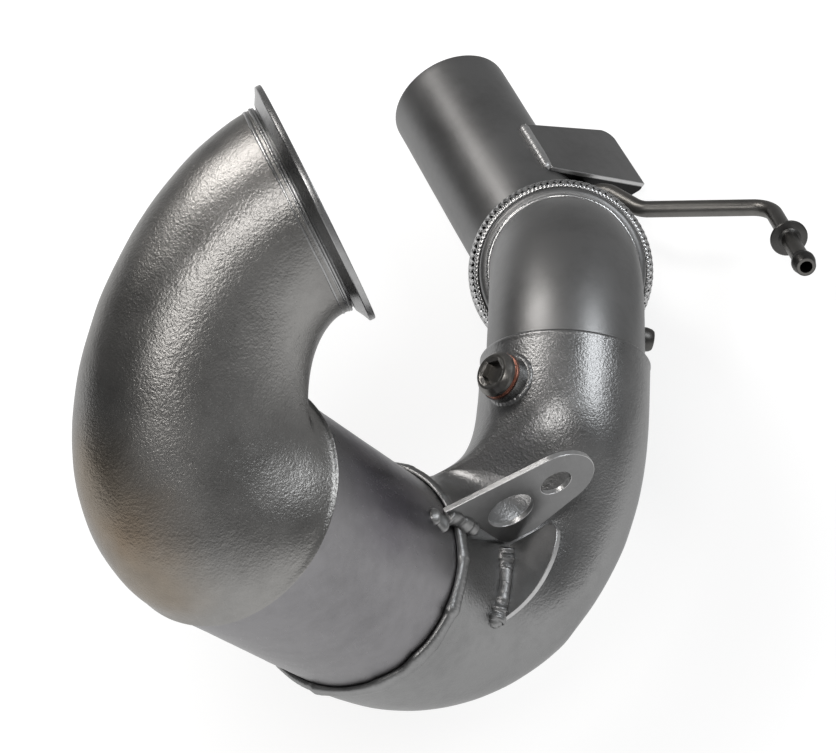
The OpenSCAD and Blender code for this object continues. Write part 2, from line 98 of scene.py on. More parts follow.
boss_dir = side([-0.485, 0.088, 0.87], sock_dir)
boss_base = sock_start + 24 * sock_dir
rear_dir = side([0.69, 0.11, -0.72], sock_dir)

# the hanger plate's near face and its tip hole's middle, and the gusset's foot and axes
plate_y = can_end[1] - 11.83
hole = np.array([can_end[0] + 112.43, plate_y, can_end[2] + 14.67])
gusset_p = can_end + np.array([77.43, -10.83, -21.33])
gusset_s = unit([-25.8, -35.4, -8])
gusset_m = side([0.6, -0.6, 0.45], gusset_s)
gusset_n = np.cross(gusset_s, gusset_m)

# the plate on the outlet tube: where it starts along the tube, its normal, and the way along its width
wing_y = outlet_start[1] + 24.56
WING_TILT = math.radians(44)
wing_n = np.array([math.cos(WING_TILT), 0, math.sin(WING_TILT)])
wing_e = np.array([wing_n[2], 0, -wing_n[0]])
tap = outlet_start + np.array([OUTLET_R, 12.56, 0])
# the pressure tube's start, three bends and end
turns = [tap + 4 * X, tap + 16 * X, outlet_start + [71.59, -18.44, 0.46], outlet_start + [144.59, -62.24, -2.54],
         outlet_start + [131.09, -143.44, 36.46]]
hose_dir = unit(turns[4] - turns[3])


# ---------- materials ----------
def tree(name):
    m = bpy.data.materials.new(name)
    m.use_nodes = True
    return m, m.node_tree, m.node_tree.nodes["Principled BSDF"]


def node(t, kind, **values):
    n = t.nodes.new(kind)
    for k, v in values.items():
        if k in n.inputs:
            n.inputs[k].default_value = v
        else:
            setattr(n, k, v)
    return n


def math_node(t, kind, a, b=None, c=None):
    n = node(t, "ShaderNodeMath", operation=kind)
    for i, v in enumerate((a, b, c)):
        if v is None:
            continue
        if isinstance(v, (int, float)):
            n.inputs[i].default_value = v
        else:
            t.links.new(v, n.inputs[i])
    return n.outputs[0]


def ramp(t, value, stops):
    r = node(t, "ShaderNodeValToRGB")
    t.links.new(value, r.inputs["Fac"])
    while len(r.color_ramp.elements) < len(stops):
        r.color_ramp.elements.new(0.5)
    for e, (at, c) in zip(r.color_ramp.elements, stops):
        e.position = at
        e.color = (c, c, c, 1) if isinstance(c, float) else (*c, 1)
    return r.outputs["Color"]


def noise_out(t, coord, scale, detail=3.0, rough=0.55):
    n = node(t, "ShaderNodeTexNoise", Scale=scale, Detail=detail, Roughness=rough)
    t.links.new(coord, n.inputs["Vector"])
    return n.outputs["Fac"]


def vector_node(t, kind, value, other):
    """DISTANCE from a fixed point, or DOT_PRODUCT with a fixed direction."""
    n = node(t, "ShaderNodeVectorMath", operation=kind)
    t.links.new(value, n.inputs[0])
    n.inputs[1].default_value = other
    return n.outputs["Value"]


def map_range(t, value, lo, hi, to_lo=0.0, to_hi=1.0, kind="SMOOTHSTEP"):
    n = node(t, "ShaderNodeMapRange", interpolation_type=kind)
    for key, v in (("From Min", lo), ("From Max", hi), ("To Min", to_lo), ("To Max", to_hi)):
        n.inputs[key].default_value = v
    t.links.new(value, n.inputs["Value"])
    return n.outputs["Result"]


def near_point(t, coord, where, reach, wobble):
    """1 close to a point (metres), fading to 0 at about reach, with a wandering edge."""
    d = vector_node(t, "DISTANCE", coord, where)
    shifted = math_node(t, "MULTIPLY_ADD", noise_out(t, coord, 28.0, 4.0), wobble, d)
    return map_range(t, shifted, reach + wobble * 0.5, reach * 0.25 + wobble * 0.5)


def multiply_colour(t, factor, a, b):
    m = node(t, "ShaderNodeMix", data_type="RGBA", blend_type="MULTIPLY")
    t.links.new(factor, m.inputs["Factor"])
    t.links.new(a, m.inputs["A"])
    m.inputs["B"].default_value = (*b, 1)
    return m.outputs["Result"]


def metal(name, dark, light, rough=(0.32, 0.46), grain=900.0, grain_h=0.00003, hammer=0.0, metallic=1.0,
          tint=(1.0, 1.0, 1.0), heat_tint_and_shade=(), scratch=0.0, edge=0.8):
    """Colour and roughness drift slowly, with fine grain on top. dark and light bound the grey, rough the roughness,
    and edge is the reflection at a glancing angle. grain_h, hammer and scratch are bump heights in metres: hammer adds
    the cast skin's small dimples, scratch adds fine crossing lines. Its tint zones round points give heat tint, and
    on the can a darker zone that is partly heat tint and partly painted shade."""
    m, t, b = tree(name)
    g = node(t, "ShaderNodeTexCoord").outputs["Object"]
    fine = noise_out(t, g, grain, 4.0, 0.65)
    broad = noise_out(t, g, 22.0, 4.0, 0.55)
    mid = noise_out(t, g, 150.0, 3.0, 0.6)
    mixed = math_node(t, "MULTIPLY_ADD", fine, 0.4, math_node(t, "MULTIPLY_ADD", mid, 0.35, broad))
    lo, hi = tuple(dark * c for c in tint), tuple(light * c for c in tint)
    colour = ramp(t, mixed, [(0.6, lo), (1.15 / 1.2, hi)])
    # tint zones: heat tint, and on the can a darker zone that is partly painted shade
    for where, reach, tone in heat_tint_and_shade:
        colour = multiply_colour(t, near_point(t, g, where, reach, reach * 0.5), colour, tone)
    t.links.new(colour, b.inputs["Base Color"])
    b.inputs["Metallic"].default_value = metallic
    b.inputs["Specular Tint"].default_value = (edge, edge, edge, 1)
    r = math_node(t, "MULTIPLY_ADD", math_node(t, "SUBTRACT", fine, 0.5), 0.12,
                  ramp(t, broad, [(0.3, rough[0]), (0.7, rough[1])]))
    layers = [(fine, 0.6, grain_h)]
    if hammer:
        v = node(t, "ShaderNodeTexVoronoi", Scale=1000.0, feature="SMOOTH_F1", Smoothness=0.8)
        t.links.new(g, v.inputs["Vector"])
        layers = [(noise_out(t, g, 300.0, 2.0, 0.5), 0.5, hammer), (noise_out(t, g, 700.0, 2.0, 0.5), 0.7, hammer),
                  (v.outputs["Distance"], 0.7, hammer * 0.5)] + layers
    if scratch:
        lines = []
        for turn, stretch in (((0.4, 0.9, 0.3), 14.0), ((1.2, 0.2, 1.7), 18.0)):
            mp = node(t, "ShaderNodeMapping", Rotation=turn, Scale=(1, 1, 1 / stretch))
            t.links.new(g, mp.inputs["Vector"])
            lines.append(noise_out(t, mp.outputs["Vector"], 1300.0, 1.0, 0.4))
        both = math_node(t, "MAXIMUM", lines[0], lines[1])
        cut = map_range(t, both, 0.66, 0.8, kind="LINEAR")
        layers.append((cut, 0.5, scratch))
        r = math_node(t, "MULTIPLY_ADD", cut, -0.1, r)
    t.links.new(r, b.inputs["Roughness"])
    last = None
    for height, strength, distance in layers:
        n = node(t, "ShaderNodeBump", Strength=strength, Distance=distance)
        t.links.new(height, n.inputs["Height"])
        if last:
            t.links.new(last, n.inputs["Normal"])
        last = n.outputs["Normal"]
    t.links.new(last, b.inputs["Normal"])
    return m


BROWN = (1.0, 0.89, 0.76)
M = {
    "cast": metal("cast_skin", 0.2, 0.27, rough=(0.33, 0.41), grain=1500.0, grain_h=0.00006, hammer=0.00023,
                  tint=(1.02, 1.0, 0.97), scratch=0.00008,
                  heat_tint_and_shade=(((-0.152, -0.082, -0.02), 0.045, BROWN), ((-0.152, -0.112, -0.056), 0.042, BROWN),
                        ((-0.13, -0.1, -0.035), 0.03, (0.96, 0.9, 0.84)))),
    "cast2": metal("cone_skin", 0.2, 0.26, rough=(0.32, 0.4), grain=1500.0, grain_h=0.00006, hammer=0.00023,
                   scratch=0.00005),
    # the can's darker violet zone round one point: partly heat tint, partly painted shade
    "can": metal("rolled_can", 0.17, 0.23, rough=(0.3, 0.37), grain=1500.0, grain_h=0.00004, tint=(1.0, 0.98, 1.01),
                 scratch=0.00005, heat_tint_and_shade=(((-0.022, -0.075, -0.11), 0.062, (0.6, 0.57, 0.64)),)),
    "tube": metal("satin_tube", 0.19, 0.24, rough=(0.41, 0.48), grain=1600.0, grain_h=0.00006, scratch=0.00004),
    "flange": metal("turned_flange", 0.26, 0.38, rough=(0.26, 0.36), grain=1200.0, grain_h=0.00004, scratch=0.00004),
    "plate": metal("plate_skin", 0.16, 0.21, rough=(0.38, 0.46), grain=1300.0, grain_h=0.00005, scratch=0.00004),
    "weld": metal("weld_skin", 0.15, 0.27, rough=(0.26, 0.42), grain=700.0, grain_h=0.0001),
    "matte_weld": metal("matte_weld", 0.19, 0.28, rough=(0.36, 0.48), grain=900.0, grain_h=0.00012, hammer=0.0001),
    "cut": metal("cut_edge", 0.34, 0.5, rough=(0.3, 0.42), grain=500.0, grain_h=0.00012),
    "bright": metal("bright_weld", 0.3, 0.5, rough=(0.22, 0.34), grain=900.0, grain_h=0.00008),
    "braid": metal("braid_wire", 0.35, 0.55, rough=(0.2, 0.34), grain=900.0, grain_h=0.00002),
    "soft_weld": metal("soft_weld", 0.34, 0.5, rough=(0.38, 0.48), grain=900.0, grain_h=0.00008, hammer=0.0001),
    # the gusset's steel, made lighter than the hanger plate's: painted light on its face
    "gusset": metal("gusset_painted_light", 0.3, 0.44, rough=(0.44, 0.54), grain=1300.0, grain_h=0.00005, scratch=0.00004),
    "dark": metal("dark_zinc", 0.13, 0.2, rough=(0.3, 0.36), grain=600.0, grain_h=0.000004, tint=(1.0, 0.97, 0.92)),
    # near black: painted shade on the fold's face
    "fold": metal("shaded_fold", 0.012, 0.022, rough=(0.4, 0.5), grain=1300.0, grain_h=0.00004),
    # near black: painted shade in the tab's hollow
    "hollow_shade": metal("hollow_painted_shade", 0.02, 0.04, rough=(0.4, 0.5), edge=0.3),
    "sensor": metal("dark_tube", 0.06, 0.1, rough=(0.34, 0.44), grain=900.0, grain_h=0.00002, tint=(1.0, 0.98, 0.95)),
    "tube2": metal("pressure_tube_skin", 0.12, 0.18, rough=(0.34, 0.44), grain=900.0, grain_h=0.00002,
                   tint=(1.0, 0.97, 0.92)),
    "copper": metal("copper_ring", 0.28, 0.44, rough=(0.3, 0.42), tint=(1.0, 0.46, 0.34)),
    "mat": metal("fibre_mat", 0.7, 0.8, rough=(0.9, 1.0), metallic=0.0, tint=(1, 0.95, 0.85), grain_h=0.0004),
    "ceramic": metal("ceramic_cells", 0.55, 0.65, rough=(0.8, 0.9), metallic=0.0, tint=(1, 0.9, 0.76)),
}
LOOKS = {
    "inlet_flange": "flange", "inlet_weld": "weld", "inlet_elbow": "cast", "seam_weld": "weld", "catalyst_can": "can",
    "catalyst_mat": "mat", "catalyst_brick": "ceramic", "can_weld": "weld", "exit_cone": "cast2",
    "sensor_boss": "flange", "boss_weld": "bright", "crush_washer": "copper", "boss_plug": "dark",
    "upper_elbow": "tube", "rear_boss": "flange", "hanger_plate": "plate", "hanger_weld": "weld",
    "hanger_gusset": "plate", "gusset_weld": "weld", "front_collar_weld": "bright", "front_collar": "tube",
    "front_crimp": "braid", "flex_braid": "braid", "flex_bellows": "can", "flex_liner": "can", "rear_crimp": "braid",
    "rear_collar": "tube", "rear_collar_weld": "bright", "outlet_pipe": "tube", "tube_bracket": "plate",
    "bracket_weld": "bright", "pressure_boss": "sensor", "pressure_tube": "sensor", "stop_collar": "sensor",
    "hose_barb": "sensor",
}
for name, look in LOOKS.items():
    o = nodes[name]
    o.data.materials.clear()
    o.data.materials.append(M[look])


# ---------- mesh helpers ----------
def angles(n):
    return np.linspace(0, 2 * math.pi, n, endpoint=False)


def spokes(t, a, b):
    """Unit directions at angles t in the plane of a and b."""
    return np.cos(t)[:, None] * a + np.sin(t)[:, None] * b


def unit_rows(v):
    return v / np.linalg.norm(v, axis=-1, keepdims=True)


def make(name, verts, faces, look, body, sharp=35, replaces=()):
    """A smooth mesh from points in mm. Edges over sharp degrees stay hard. A piece without a body is not attached to
    one.
    """
    me = bpy.data.meshes.new(name)
    me.from_pydata([tuple(v) for v in np.asarray(verts) * 0.001], [], faces)
    me.validate()
    me.update()
    me.shade_smooth()
    me.set_sharp_from_angle(angle=math.radians(sharp))
    me.materials.append(M[look])
    o = bpy.data.objects.new(name, me)
    bpy.context.scene.collection.objects.link(o)
    if body:
        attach(o, body)
    if replaces:
        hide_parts(*replaces)
    return o


def ring_faces(m, n, flip=False, start=0, wrap=False):
    """Quads between m rings of n points each; wrap joins the last ring to the first."""
    out = []
    for k in range(m if wrap else m - 1):
        k2 = (k + 1) % m
        for i in range(n):
            j = (i + 1) % n
            q = (start + k * n + i, start + k * n + j, start + k2 * n + j, start + k2 * n + i)
            out.append(q[::-1] if flip else q)
    return out


def closed_sweep(rings, wrap=False):
    """Rings (m, n, 3): a skin round them, joined end to end if wrap, else capped."""
    m, n = rings.shape[:2]
    faces = ring_faces(m, n, flip=True, wrap=wrap)
    if not wrap:
        faces.append(tuple(range(n)))
        faces.append(tuple(range((m - 1) * n, m * n))[::-1])
    return rings.reshape(-1, 3), faces


def shell(outer, inner):
    """An open-ended tube wall from an outer and an inner stack of rings."""
    m, n = outer.shape[:2]
    m2 = inner.shape[0]
    verts = np.concatenate([outer.reshape(-1, 3), inner.reshape(-1, 3)])
    o = m * n
    faces = ring_faces(m, n, flip=True) + ring_faces(m2, n, start=o)
    for i in range(n):
        j = (i + 1) % n
        faces.append((i, j, o + j, o + i))
        faces.append(((m - 1) * n + j, (m - 1) * n + i, o + (m2 - 1) * n + i, o + (m2 - 1) * n + j))
    return verts, faces


def frame_on(axis, x=(0, 0, 1)):
    a = side(x, axis)
    return a, np.cross(unit(axis), a)


def circle(centre, axis, r, m, x=(0, 0, 1)):
    """m points round centre, and the way out at each."""
    d = spokes(angles(m), *frame_on(axis, x))
    return np.asarray(centre) + r * d, d


def lathe(name, origin, axis, profile, look, body, n=192, sharp=30, replaces=(), gain=None):
    """A closed profile of (radius, distance along the axis) turned about the axis. gain adds to the radius by profile
    point and angle."""
    axis = unit(axis)
    rings = []
    for k, (r, z) in enumerate(profile):
        p, d = circle(np.asarray(origin) + z * axis, axis, r, n)
        if gain is not None:
            p = p + gain(k, angles(n))[:, None] * d
        rings.append(p)
    rings = np.array(rings)
    return make(name, rings.reshape(-1, 3), ring_faces(len(profile), n, wrap=True), look, body, sharp, replaces)


def value_noise(p, scale, seed):
    """Smooth noise in -1..1 at points p in mm."""
    q = np.asarray(p) / scale + seed
    return np.array([noise.noise(Vector(x)) for x in q.reshape(-1, 3)]).reshape(q.shape[:-1])


def tube_frames(path, x):
    """A steady cross-section frame along a path."""
    tangents = unit_rows(np.gradient(path, axis=0))
    a = side(x, tangents[0])
    out = []
    for d in tangents:
        a = side(a, d)
        out.append((a, np.cross(d, a)))
    return out


def tube_rings(path, r, n, x=(0.3, 0.4, 0.866)):
    path = np.asarray(path, float)
    r = np.broadcast_to(r, len(path))
    return np.array([p + q * spokes(angles(n), a, b) for p, q, (a, b) in zip(path, r, tube_frames(path, x))])


def arc(p, d, s, radius, turn, m):
    """Points of an arc from p along d, turning towards s."""
    a = np.linspace(0, turn, m)
    return p + radius * (np.sin(a)[:, None] * d + (1 - np.cos(a))[:, None] * s)


def plate(name, origin, ex, ey, ez, outline, thick, look, body, holes=(), bevel=0.45, replaces=(), edge="cut"):
    """A flat plate, thick along ez. Its outline (anticlockwise) and holes (clockwise) are in mm on ex and ey. Both
    faces are bevelled, and edge is the look of the rim."""
    loops = [np.asarray(outline, float)] + [np.asarray(h, float) for h in holes]
    half = bevel * 0.35
    levels = ((0, bevel), (half, half), (bevel, 0), (thick - bevel, 0), (thick - half, half), (thick, bevel))
    steps = len(levels) - 1
    verts, faces, marks = [], [], []
    for p in loops:
        m = len(p)
        n1, n2 = (unit_rows(np.stack([-e[:, 1], e[:, 0]], 1)) for e in (p - np.roll(p, 1, 0), np.roll(p, -1, 0) - p))
        inward = n1 + n2
        inward /= np.maximum(0.5, (inward * n1).sum(1))[:, None]
        start = len(verts)
        for z, off in levels:
            verts += [(*xy, z) for xy in p + off * inward]
        for k in range(steps):
            for i in range(m):
                j = (i + 1) % m
                faces.append((start + k * m + i, start + k * m + j, start + (k + 1) * m + j, start + (k + 1) * m + i))
        marks.append((start, m))
    for level, flip in ((0, True), (steps, False)):
        loop_ids = [list(range(s + level * m, s + level * m + m)) for s, m in marks]
        flat = [i for ids in loop_ids for i in ids]
        polygons = [[Vector((verts[i][0], verts[i][1], 0)) for i in ids] for ids in loop_ids]
        for tri in geometry.tessellate_polygon(polygons):
            a, b, c = (flat[i] for i in tri)
            area = ((verts[b][0] - verts[a][0]) * (verts[c][1] - verts[a][1])
                    - (verts[c][0] - verts[a][0]) * (verts[b][1] - verts[a][1]))
            faces.append((a, b, c) if (area > 0) != flip else (a, c, b))
    v = np.array(verts)
    world = np.asarray(origin) + v[:, :1] * np.asarray(ex) + v[:, 1:2] * np.asarray(ey) + v[:, 2:] * np.asarray(ez)
    o = make(name, world, faces, look, body, 20, replaces)
    if edge:
        o.data.materials.append(M[edge])
        rim = sum(steps * m for s, m in marks)
        for f in o.data.polygons[:rim]:
            f.material_index = 1
    return o


def rounded(points, radius, steps=6):
    """Rounds each corner of a 2-D outline."""
    p = [np.array(q, float) for q in points]
    out = []
    for i, c in enumerate(p):
        a, b = p[i - 1] - c, p[(i + 1) % len(p)] - c
        la, lb = np.linalg.norm(a), np.linalg.norm(b)
        r = min(radius, la * 0.45, lb * 0.45)
        for k in range(steps + 1):
            t = k / steps
            out.append((1 - t) ** 2 * (c + a / la * r) + 2 * t * (1 - t) * c + t * t * (c + b / lb * r))
    return np.array(out)


def round_hole(x, y, r, m=64):
    """A round hole's outline, clockwise."""
    a = -angles(m)
    return np.stack([x + r * np.cos(a), y + r * np.sin(a)], 1)


# ---------- castings ----------
ROUND = 240                                   # points round a casting
EARLY, LATE, PEAK = 12.2, 17.6, 0.00503       # bring the three humps in loft to a height of 1
EASE_LEAN = 2.6                               # how far ease leans the late sections, in mm


def loft(p0, d0, h0, p1, d1, h1, a, m, b, ts, near=0.0, far=0.0, swell=0.0, extra=None, ease=False):
    """Round sections along a bend from p0 to p1, with radius a, m and b at its start, middle and end. near and far lean
    them outwards, swell widens the early ones, and ease brings the radius into its last value without a kink."""
    p0, p1, d0, d1 = np.array(p0, float), np.array(p1, float), unit(d0), unit(d1)
    w = unit(np.cross(d0, d1))
    s = np.cross(w, d0)
    turn = math.acos(d0 @ d1)
    b0, b1, b2, b3 = p0, p0 + h0 * d0, p1 - h1 * d1, p1
    out, mid = [], []
    for t in ts:
        d = math.cos(turn * t) * d0 + math.sin(turn * t) * s
        v = np.cross(d, w)
        early, late = EARLY * t * (1 - t) ** 4, LATE * t ** 6 * (1 - t)
        c = (1 - t) ** 3 * b0 + 3 * (1 - t) ** 2 * t * b1 + 3 * (1 - t) * t * t * b2 + t ** 3 * b3
        c = c + (near * early + far * late) * v
        r = a * (1 - t) * (1 - 2 * t) + 4 * m * t * (1 - t) + b * t * (2 * t - 1) + swell * early
        if ease:
            s0 = 4 * m - 3 * a - b
            r = (a * (1 + 2 * t) * (1 - t) ** 2 + s0 * t * (1 - t) ** 2 + b * t * t * (3 - 2 * t)
                 + 64 * (t * (1 - t)) ** 3 * (m - (a + b) / 2 - s0 / 8) + swell * early)
            c = c + EASE_LEAN * t ** 5 * (1 - t) ** 3 / PEAK * v
        if extra:
            r += extra(t)
        mid.append(c)
        out.append(c + r * spokes(angles(ROUND), w, v))
    return np.array(out), np.array(mid)


def roughen(rings, mid, layers):
    """Pushes points in and out by smooth noise: layers of (amount, scale, seed) in mm."""
    d = unit_rows(rings - mid[:, None, :])
    for amount, scale, seed in layers:
        rings = rings + d * (value_noise(rings, scale, seed) * amount)[:, :, None]
    return rings


# both ends of a casting: place, direction, and how far the bend leans along it
INLET = (neck_end, -X, 45.5, can_start, can_dir, 62)
EXIT = (can_end, can_dir, 102, sock_start + 2 * sock_dir, sock_dir, 43)
INLET_RADII, EXIT_RADII = (52.25, 52.5, 61.25), (61.25, 58, SOCKET_R)


def lip_in(t):
    """A slightly proud rolled lip where the elbow meets the can."""
    return 0.7 * math.exp(-((1 - t) / 0.015) ** 2)


def lip_out(t):
    """The same where the can meets the exit cone."""
    return 1.1 * math.exp(-(t / 0.045) ** 2)


def inside(radii):
    return (r - CAST_WALL for r in radii)


ts = np.concatenate([np.linspace(0, 0.9, 170), np.linspace(0.9, 1, 41)[1:]])
outer, mid = loft(*INLET, *INLET_RADII, ts, far=1.3, extra=lip_in)
inner, _ = loft(*INLET, *inside(INLET_RADII), ts[::3], far=1.3)
outer = roughen(outer, mid, ((0.28, 18.0, 3.1), (0.03, 4.5, 5.2)))
make("cast_inlet_elbow", *shell(outer, inner), "cast", "inlet_side", replaces=["inlet_elbow"])

ts = np.concatenate([np.linspace(0, 0.12, 30)[:-1], np.linspace(0.12, 1, 160)])
outer, mid = loft(*EXIT, *EXIT_RADII, ts, near=1.6, swell=1.4, extra=lip_out, ease=True)
inner, _ = loft(*EXIT, *inside(EXIT_RADII), ts[::3], near=1.6, swell=1.4, ease=True)
w = unit(np.cross(can_dir, sock_dir))
arm = spokes(angles(ROUND), w, np.cross(sock_dir, w))


def socket_rings(z, r):
    return sock_start + np.asarray(z)[:, None, None] * sock_dir + np.asarray(r)[:, None, None] * arm


# the straight socket, with a rolled lip outside and a step inside
z = np.concatenate([np.linspace(2.6, 48.6, 60), [49.4, 50.2, 50.75, 51.0]])
r = np.concatenate([np.full(58, SOCKET_R), [47.6, 47.72, 47.7, 47.3, 46.6, 45.5]])
outer = np.concatenate([outer, socket_rings(z, r)])
mid = np.concatenate([mid, sock_start + z[:, None] * sock_dir])
inner = np.concatenate([inner, socket_rings([10, 30, 47.9, 48.0, 51.0], [43, 43, 43, 44.75, 44.75])])

# the cone runs into the socket smoothly: each point moves towards the middle of its neighbours along the piece, less
# where the rings stand further apart, so that the outside of the bend keeps its outline
CONE, SOFT_BEFORE, SOFT_AFTER, PASSES = len(ts), 100, 56, 2200
k = slice(CONE - SOFT_BEFORE, CONE + SOFT_AFTER)
step = np.linalg.norm(np.diff(outer[k], axis=0), axis=2).mean(0)
share = 0.5 * ((step.min() / step) ** 2)[None, :, None]
for _ in range(PASSES):
    outer[k] += share * ((outer[k.start - 1:k.stop - 1] + outer[k.start + 1:k.stop + 1]) / 2 - outer[k])
socket_skin = outer[CONE - 40:].reshape(-1, 3)
cone_mid = outer[:CONE].mean(1)
cone_r = np.linalg.norm(outer[:CONE] - cone_mid[:, None], axis=2).mean(1)
cone_n = unit_rows(np.cross(outer[:CONE, 0] - cone_mid, outer[:CONE, ROUND // 4] - cone_mid))
outer = roughen(outer, mid, ((0.25, 18.0, 7.7), (0.025, 4.5, 1.9)))
make("cast_exit_cone", *shell(outer, inner), "cast2", "inlet_side", replaces=["exit_cone"])


# ---------- weld beads ----------
def bead(name, path, up, width, height, closed=False, look="weld", body="inlet_side", replaces=(), pitch=5.0,
         ripple=0.25, seed=1, wander=0.6, swell=0.2, n=14, gain=None, blobs=(), sink=1.4):
    """A bead along path with up pointing out of the surface. It ripples every pitch mm, its middle line wanders, and
    width and height swell and shrink. blobs are lumps of (place along it, length, extra), sink is how deep it reaches
    under path, and gain scales it point by point."""
    tang = unit_rows(np.roll(path, -1, 0) - np.roll(path, 1, 0) if closed else np.gradient(path, axis=0))
    cross = unit_rows(np.cross(tang, up))
    along = np.concatenate([[0], np.cumsum(np.linalg.norm(np.diff(path, axis=0), axis=1))])
    g = np.random.default_rng(seed)
    knots = max(4, int(along[-1] / 9.0))

    def wave(lo, hi):
        vals = g.uniform(lo, hi, knots)
        if closed:
            vals[-1] = vals[0]
        x = np.interp(along, np.linspace(0, along[-1], knots), vals)
        k = np.ones(9) / 9
        return np.convolve(np.pad(x, 4, mode="wrap" if closed else "edge"), k, "valid")

    k_w, k_h, off = wave(1 - swell, 1 + swell), wave(1 - swell, 1 + swell), wave(-wander, wander)
    jitter = wave(-0.35, 0.35)
    phase = (along / pitch + jitter) % 1.0
    rip = 1 - ripple + ripple * np.sqrt(phase)
    for at, length, extra in blobs:
        d = (along - at) / length
        lump = np.where(d > 0, np.exp(-(d * 2.2) ** 2), np.exp(-d ** 2)) * extra
        k_w, k_h = k_w + lump * 0.6, k_h + lump
    if gain is not None:
        k_w, k_h = k_w * (0.4 + 0.6 * gain), k_h * gain
    ang = angles(n)
    rings = []
    for i in range(len(path)):
        end = 1.0
        if not closed:
            e = min(along[i], along[-1] - along[i]) / (width * 0.55)
            end = math.sqrt(max(0.02, 1 - (1 - min(1.0, e)) ** 2))
        x = np.cos(ang) * width / 2 * k_w[i] * (0.93 + 0.07 * rip[i]) * end
        y = np.sin(ang)
        y = np.where(y > 0, np.abs(y) ** 0.8 * height * k_h[i] * rip[i] * end, y * sink)
        lean = np.where(y > 0, y / max(height, 0.1), 0) * (phase[i] - 0.5) * ripple * 1.6
        rings.append(path[i] + (x + off[i])[:, None] * cross[i] + y[:, None] * up[i] + lean[:, None] * tang[i])
    return make(name, *closed_sweep(np.array(rings), wrap=closed), look, body, 50, replaces)


def part_of(p, toward, lo, hi):
    """0..1 for points p by how far they lie along toward, from their own middle (mm)."""
    s = (p - p.mean(0)) @ unit(toward)
    q = np.clip((s - lo) / (hi - lo), 0, 1)
    return q * q * (3 - 2 * q)


# the photo's camera, as the welds' visible runs and the camera below use it
CAM_RIGHT = unit([0.895, -0.3719, -0.2461])
CAM_DOWN = unit([-0.4453, -0.7146, -0.5395])
CAM_FORWARD = unit([0.0247, 0.5925, -0.8052])

p, d = circle(can_end - 1.0 * can_dir, can_dir, 60.9, 900)
bead("bead_can", p, d, 9.4, 3.1, True, look="matte_weld", replaces=["can_weld"], pitch=3.0, ripple=0.05, seed=5,
     wander=0.6, swell=0.1, n=22,
     blobs=[(k * 29.0 + (k * k * 7) % 11, 5.0, 0.14 + 0.08 * (k % 3)) for k in range(13)])
p, d = circle(can_start + 0.3 * can_dir, can_dir, 60.5, 620)
bead("bead_seam", p, d, 2.6, 1.0, True, replaces=["seam_weld"], pitch=3.0, ripple=0.2, seed=8, wander=0.15, swell=0.2,
     gain=0.3 + 0.7 * part_of(p, CAM_RIGHT - 0.7 * CAM_DOWN, 20, 45))
for k, (x, high) in enumerate(((-9.8, 0.9), (-12.6, 0.6))):
    p, d = circle([x, 0, 0], -X, 52.2, 560)
    bead(f"bead_inlet_{k + 1}", p, d, 1.8, high, True, look="flange", pitch=2.4, ripple=0.25, seed=20 + k,
         wander=0.15, swell=0.2, gain=0.35 + 0.65 * part_of(p, -1 * CAM_DOWN, -10, 40),
         replaces=["inlet_weld"] if k == 0 else [])

# ---------- inlet flange ----------
R = 60.75    # the flange's outer radius
lathe("flange_ring", [0, 0, 0], -X,
      [(47.5, 0.4), (47.9, 0), (R - 7, 0), (R - 6.8, 0.18), (R - 6.4, 0.18), (R - 6.2, 0), (R - 0.7, 0),
       (R - 0.2, 0.2), (R, 0.7), (R, 2.7), (R - 0.25, 3.15), (R - 0.8, 3.4), (57.2, 4.65), (54.2, 6.35), (53.6, 6.75),
       (52.3, 6.9), (51.35, 7.0), (51.2, 7.4), (51.35, 7.8), (52.2, 7.95), (52.7, 8.2), (52.75, 8.9), (52.3, 9.3),
       (52.25, 10.5), (47.75, 10.5), (47.5, 10.3)],
      "flange", "inlet_side", n=288, sharp=24, replaces=["inlet_flange"])

# ---------- can ----------
arm = spokes(angles(260), *frame_on(can_dir, Y))


def can_rings(r, zs):
    return can_start + np.asarray(zs)[:, None, None] * can_dir + r * arm


zs = np.linspace(0, can_len, 60)
skin = roughen(can_rings(CAN_R, zs), can_start + zs[:, None] * can_dir, ((0.22, 30.0, 2.3), (0.07, 9.0, 4.1)))
make("can_shell", *shell(skin, can_rings(CAN_R - CAN_WALL, [0, can_len])), "can", "inlet_side",
     replaces=["catalyst_can"])

# ---------- upper elbow and outlet pipe ----------
path = arc(upper_start, sock_dir, upper_side, UPPER_BEND, upper_turn, 70)
outer, inner = (tube_rings(path, r, 220, rear_dir) for r in (TUBE_R, TUBE_R - TUBE_WALL))
outer = roughen(outer, path, ((0.15, 22.0, 6.4),))
make("bent_upper_elbow", *shell(outer, inner), "tube", "inlet_side", replaces=["upper_elbow"])
straight = np.concatenate([np.linspace(4, 141.5, 34), [142.2, 142.7, 143]])
path = np.concatenate([arc(flex_end, flex_dir, out_side, OUTLET_BEND, out_turn, 40),
                       outlet_start + straight[:, None] * Y])
outer, inner = np.full(len(path), OUTLET_R), np.full(len(path), OUTLET_R - TUBE_WALL)
outer[-3:], inner[-2:] = (41.9, 41.65, 41.2), (40.1, 40.4)    # the cut end's rounded edge
outer, inner = tube_rings(path, outer, 220), tube_rings(path, inner, 220)
outer = roughen(outer, path, ((0.12, 24.0, 9.4),))
make("drawn_outlet_pipe", *shell(outer, inner), "tube", "outlet_side", replaces=["outlet_pipe"])

